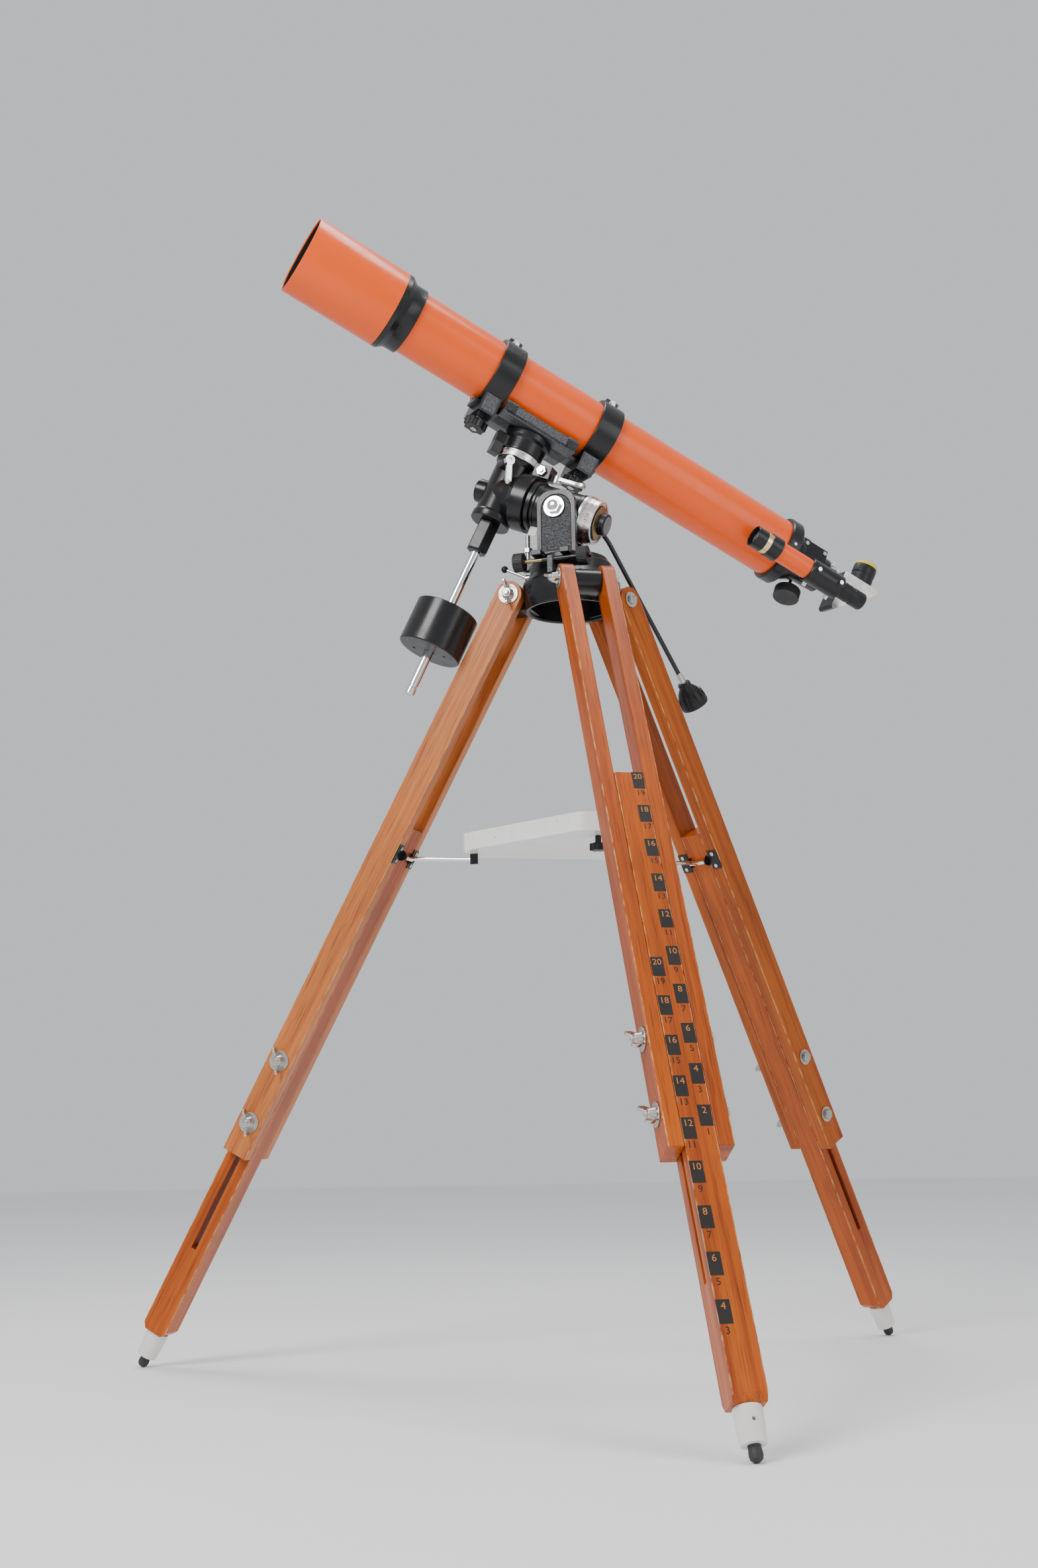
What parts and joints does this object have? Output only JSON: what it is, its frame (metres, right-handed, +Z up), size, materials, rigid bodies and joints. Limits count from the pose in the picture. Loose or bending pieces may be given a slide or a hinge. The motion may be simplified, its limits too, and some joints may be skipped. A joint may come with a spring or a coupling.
{
  "type": "refractor telescope",
  "caption": "Refractor telescope on a German equatorial mount with a counterweight and a folding wooden tripod",
  "frame": {"origin": "centre of the bottom of the bounding box, without the free cable, on the floor", "axes": "+Z up, +X to the right and +Y away from the viewer as the telescope is seen from its front"},
  "size_m": [1.093, 1.07, 1.5467],
  "materials": {
    "wood": "varnished reddish brown wood, worn on its edges",
    "foot_collar": "white enamel collar with a black rubber tip",
    "bright_steel": "bright plated steel, slightly tarnished",
    "chrome": "polished chrome",
    "tray_enamel": "white enamel with chipped edges",
    "hammered_paint": "dark grey hammered paint",
    "dial": "satin aluminium dial with printed numbers",
    "orange_paint": "glossy orange enamel",
    "lens_glass": "coated clear glass",
    "black_rubber": "soft black rubber",
    "black_plastic": "satin black plastic",
    "black_iron": "black paint on cast iron",
    "black_paint": "semi gloss black paint"
  },
  "bodies": {
    "root": {"tripod_head": "black_paint", "tray": "tray_enamel"},
    "leg_front": {"leg_front_slat_a": "wood", "leg_front_slat_b": "wood"},
    "board_front": {"leg_front_board": "wood", "foot_front": "foot_collar"},
    "tray_arm_front": {"tray_arm_front": "chrome"},
    "hinge_bolt_front": {"hinge_bolt_front": "bright_steel"},
    "clamp_screw_front_upper": {"clamp_screw_front_upper": "bright_steel"},
    "clamp_screw_front_lower": {"clamp_screw_front_lower": "bright_steel"},
    "leg_left": {"leg_left_slat_a": "wood", "leg_left_slat_b": "wood"},
    "board_left": {"leg_left_board": "wood", "foot_left": "foot_collar"},
    "tray_arm_left": {"tray_arm_left": "chrome"},
    "hinge_bolt_left": {"hinge_bolt_left": "bright_steel"},
    "clamp_screw_left_upper": {"clamp_screw_left_upper": "bright_steel"},
    "clamp_screw_left_lower": {"clamp_screw_left_lower": "bright_steel"},
    "leg_right": {"leg_right_slat_a": "wood", "leg_right_slat_b": "wood"},
    "board_right": {"leg_right_board": "wood", "foot_right": "foot_collar"},
    "tray_arm_right": {"tray_arm_right": "chrome"},
    "hinge_bolt_right": {"hinge_bolt_right": "bright_steel"},
    "clamp_screw_right_upper": {"clamp_screw_right_upper": "bright_steel"},
    "clamp_screw_right_lower": {"clamp_screw_right_lower": "bright_steel"},
    "tray_knob": {"tray_knob": "black_plastic"},
    "azimuth_screw_left": {"azimuth_screw_left": "black_plastic"},
    "azimuth_screw_right": {"azimuth_screw_right": "black_plastic"},
    "azimuth_lever": {"azimuth_lever": "bright_steel"},
    "latitude_bolt": {"latitude_bolt": "chrome"},
    "latitude_screw": {"latitude_screw": "bright_steel"},
    "ra_circle": {"ra_circle": "dial"},
    "ra_lever": {"ra_lever": "chrome"},
    "dec_circle": {"dec_circle": "dial"},
    "dec_lever": {"dec_lever": "chrome"},
    "counterweight": {"counterweight": "black_iron"},
    "saddle_knob_front": {"saddle_knob_front": "black_plastic"},
    "saddle_knob_rear": {"saddle_knob_rear": "black_plastic"},
    "dew_shield": {"dew_shield": "orange_paint"},
    "focus_knob": {"focus_knob": "black_rubber"},
    "drawtube": {"drawtube": "black_paint"},
    "diagonal": {"diagonal": "black_paint"},
    "eyepiece": {"eyepiece": "black_paint"},
    "slow_motion_knob": {"slow_motion_knob": "black_plastic"},
    "azimuth_base": {"mount_base": "hammered_paint"},
    "polar_axis": {"ra_housing": "black_paint", "slow_motion_cable": "black_rubber"},
    "declination_axis": {"dec_housing": "black_paint", "counterweight_shaft": "chrome"},
    "saddle": {"dec_head": "black_paint", "saddle_plate": "hammered_paint", "ring_front": "black_paint", "ring_rear": "black_paint"},
    "optical_tube": {"main_tube": "orange_paint", "lens_cell": "black_paint", "objective_lens": "lens_glass", "tail_ring": "black_paint", "focuser_body": "black_paint", "finder": "orange_paint"}
  },
  "joints": [
    {"name": "leg_front_fold", "type": "hinge", "parent": "root", "child": "leg_front", "pos_m": [0.08642, 0.01618, 1.03924], "axis": [0.9756, 0.2193, 0], "range_deg": [0, 2.2]},
    {"name": "leg_front_extension", "type": "slide", "parent": "leg_front", "child": "board_front", "axis": [0.1042, -0.4635, -0.8799], "range_m": [-0.185, 0.285]},
    {"name": "tray_arm_front_swing", "type": "hinge", "parent": "leg_front", "child": "tray_arm_front", "pos_m": [0.12207, -0.14239, 0.68583], "axis": [0.9756, 0.2193, 0], "range_deg": [-95, 0]},
    {"name": "hinge_bolt_front_turn", "type": "hinge", "parent": "leg_front", "child": "hinge_bolt_front", "pos_m": [0.08642, 0.01618, 1.03924], "axis": [0.9756, 0.2193, 0], "continuous": true},
    {"name": "clamp_screw_front_upper_turn", "type": "hinge", "parent": "leg_front", "child": "clamp_screw_front_upper", "pos_m": [0.16073, -0.31438, 0.41177], "axis": [0.9756, 0.2193, 0], "continuous": true},
    {"name": "clamp_screw_front_lower_turn", "type": "hinge", "parent": "leg_front", "child": "clamp_screw_front_lower", "pos_m": [0.17046, -0.35763, 0.32967], "axis": [0.9756, 0.2193, 0], "continuous": true},
    {"name": "leg_left_fold", "type": "hinge", "parent": "root", "child": "leg_left", "pos_m": [-0.00686, 0.11737, 1.03924], "axis": [-0.2979, -0.9546, 0], "range_deg": [0, 10]},
    {"name": "leg_left_extension", "type": "slide", "parent": "leg_left", "child": "board_left", "axis": [-0.4536, 0.1415, -0.8799], "range_m": [-0.185, 0.285]},
    {"name": "tray_arm_left_swing", "type": "hinge", "parent": "leg_left", "child": "tray_arm_left", "pos_m": [-0.16201, 0.16579, 0.68583], "axis": [-0.2979, -0.9546, 0], "range_deg": [-95, 0]},
    {"name": "hinge_bolt_left_turn", "type": "hinge", "parent": "leg_left", "child": "hinge_bolt_left", "pos_m": [-0.00686, 0.11737, 1.03924], "axis": [-0.2979, -0.9546, 0], "continuous": true},
    {"name": "clamp_screw_left_upper_turn", "type": "hinge", "parent": "leg_left", "child": "clamp_screw_left_upper", "pos_m": [-0.33029, 0.2183, 0.41177], "axis": [-0.2979, -0.9546, 0], "continuous": true},
    {"name": "clamp_screw_left_lower_turn", "type": "hinge", "parent": "leg_left", "child": "clamp_screw_left_lower", "pos_m": [-0.3726, 0.2315, 0.32967], "axis": [-0.2979, -0.9546, 0], "continuous": true},
    {"name": "leg_right_fold", "type": "hinge", "parent": "root", "child": "leg_right", "pos_m": [0.12742, 0.14756, 1.03924], "axis": [-0.6778, 0.7353, 0], "range_deg": [0, 10]},
    {"name": "leg_right_extension", "type": "slide", "parent": "leg_right", "child": "board_right", "axis": [0.3493, 0.322, -0.8799], "range_m": [-0.185, 0.285]},
    {"name": "tray_arm_right_swing", "type": "hinge", "parent": "leg_right", "child": "tray_arm_right", "pos_m": [0.24692, 0.25772, 0.68583], "axis": [-0.6778, 0.7353, 0], "range_deg": [-95, 0]},
    {"name": "hinge_bolt_right_turn", "type": "hinge", "parent": "leg_right", "child": "hinge_bolt_right", "pos_m": [0.12742, 0.14756, 1.03924], "axis": [-0.6778, 0.7353, 0], "continuous": true},
    {"name": "clamp_screw_right_upper_turn", "type": "hinge", "parent": "leg_right", "child": "clamp_screw_right_upper", "pos_m": [0.37653, 0.3772, 0.41177], "axis": [-0.6778, 0.7353, 0], "continuous": true},
    {"name": "clamp_screw_right_lower_turn", "type": "hinge", "parent": "leg_right", "child": "clamp_screw_right_lower", "pos_m": [0.40912, 0.40724, 0.32967], "axis": [-0.6778, 0.7353, 0], "continuous": true},
    {"name": "tray_knob_turn", "type": "hinge", "parent": "root", "child": "tray_knob", "pos_m": [0.09356, -0.01557, 0.00118], "axis": [0, 0, 1], "continuous": true},
    {"name": "azimuth", "type": "hinge", "parent": "root", "child": "azimuth_base", "pos_m": [0.06899, 0.0937, 0.00118], "axis": [0, 0, 1], "range_deg": [-5, 5]},
    {"name": "azimuth_screw_left_travel", "type": "slide", "parent": "azimuth_base", "child": "azimuth_screw_left", "axis": [0.9452, -0.3264, 0], "range_m": [-0.0075, 0.0075]},
    {"name": "azimuth_screw_right_travel", "type": "slide", "parent": "azimuth_base", "child": "azimuth_screw_right", "axis": [0.9452, -0.3264, 0], "range_m": [-0.0075, 0.0075]},
    {"name": "azimuth_lever_turn", "type": "hinge", "parent": "root", "child": "azimuth_lever", "pos_m": [0.06899, 0.0937, 1.07018], "axis": [0.9452, -0.3264, 0], "range_deg": [-60, 60]},
    {"name": "latitude", "type": "hinge", "parent": "azimuth_base", "child": "polar_axis", "pos_m": [0.06153, 0.09628, 1.15398], "axis": [0.3264, 0.9452, 0], "range_deg": [-0.4, 8]},
    {"name": "latitude_bolt_turn", "type": "hinge", "parent": "azimuth_base", "child": "latitude_bolt", "pos_m": [0.06153, 0.09628, 1.15398], "axis": [0.3264, 0.9452, 0], "continuous": true},
    {"name": "latitude_screw_travel", "type": "slide", "parent": "azimuth_base", "child": "latitude_screw", "axis": [0, 0, 1], "range_m": [-0.01, 0.009]},
    {"name": "right_ascension", "type": "hinge", "parent": "polar_axis", "child": "declination_axis", "pos_m": [0.06899, 0.0937, 1.15438], "axis": [0.8763, -0.3026, -0.3748], "range_deg": [-40, 40]},
    {"name": "ra_circle_turn", "type": "hinge", "parent": "polar_axis", "child": "ra_circle", "pos_m": [0.06899, 0.0937, 1.15438], "axis": [0.8763, -0.3026, -0.3748], "continuous": true},
    {"name": "ra_lever_turn", "type": "hinge", "parent": "polar_axis", "child": "ra_lever", "pos_m": [0.0378, 0.10448, 1.16772], "axis": [0.3542, -0.1223, 0.9271], "range_deg": [-35, 35]},
    {"name": "dec_circle_turn", "type": "hinge", "parent": "declination_axis", "child": "dec_circle", "pos_m": [-0.02504, 0.12617, 1.19459], "axis": [0.4123, 0.0689, 0.9084], "continuous": true},
    {"name": "dec_lever_turn", "type": "hinge", "parent": "declination_axis", "child": "dec_lever", "pos_m": [-0.02805, 0.12031, 1.23713], "axis": [0.3754, -0.9214, -0.1005], "range_deg": [-40, 0]},
    {"name": "declination", "type": "hinge", "parent": "declination_axis", "child": "saddle", "pos_m": [-0.02504, 0.12617, 1.19459], "axis": [0.4123, 0.0689, 0.9084], "range_deg": [-60, 60]},
    {"name": "counterweight_travel", "type": "slide", "parent": "declination_axis", "child": "counterweight", "axis": [0.4123, 0.0689, 0.9084], "range_m": [-0.05, 0.085]},
    {"name": "saddle_knob_front_turn", "type": "hinge", "parent": "saddle", "child": "saddle_knob_front", "pos_m": [-0.0275, 0.10651, 1.36573], "axis": [0.4123, 0.0689, 0.9084], "continuous": true},
    {"name": "saddle_knob_rear_turn", "type": "hinge", "parent": "saddle", "child": "saddle_knob_rear", "pos_m": [0.10947, 0.16962, 1.29878], "axis": [0.4123, 0.0689, 0.9084], "continuous": true},
    {"name": "tube_slide", "type": "slide", "parent": "saddle", "child": "optical_tube", "axis": [-0.8301, -0.3825, 0.4058], "range_m": [-0.06, 0.06]},
    {"name": "dew_shield_slide", "type": "slide", "parent": "optical_tube", "child": "dew_shield", "axis": [-0.8301, -0.3825, 0.4058], "range_m": [0, 0.02]},
    {"name": "focus", "type": "slide", "parent": "optical_tube", "child": "drawtube", "axis": [-0.8301, -0.3825, 0.4058], "range_m": [-0.06, 0.006]},
    {"name": "focus_knob_turn", "type": "hinge", "parent": "optical_tube", "child": "focus_knob", "pos_m": [0.41376, 0.33376, 1.14196], "axis": [0.3011, 0.305, 0.9035], "continuous": true},
    {"name": "diagonal_turn", "type": "hinge", "parent": "drawtube", "child": "diagonal", "pos_m": [0.03808, 0.13673, 1.33368], "axis": [-0.8301, -0.3825, 0.4058], "range_deg": [-60, 110]},
    {"name": "eyepiece_pull", "type": "slide", "parent": "diagonal", "child": "eyepiece", "axis": [0.4123, 0.0689, 0.9084], "range_m": [0, 0.01]},
    {"name": "slow_motion_knob_turn", "type": "hinge", "parent": "polar_axis", "child": "slow_motion_knob", "pos_m": [0.22499, 0.2297, 0.95978], "axis": [0.46, 0.4792, -0.7475], "continuous": true}
  ],
  "couplings": [
    {"joint": "azimuth_screw_left_travel", "follows": "azimuth", "m_per_rad": -0.064},
    {"joint": "azimuth_screw_right_travel", "follows": "azimuth", "m_per_rad": -0.064},
    {"joint": "latitude_screw_travel", "follows": "latitude", "m_per_rad": 0.054},
    {"joint": "focus_knob_turn", "follows": "focus", "rad_per_m": -166.67}
  ]
}
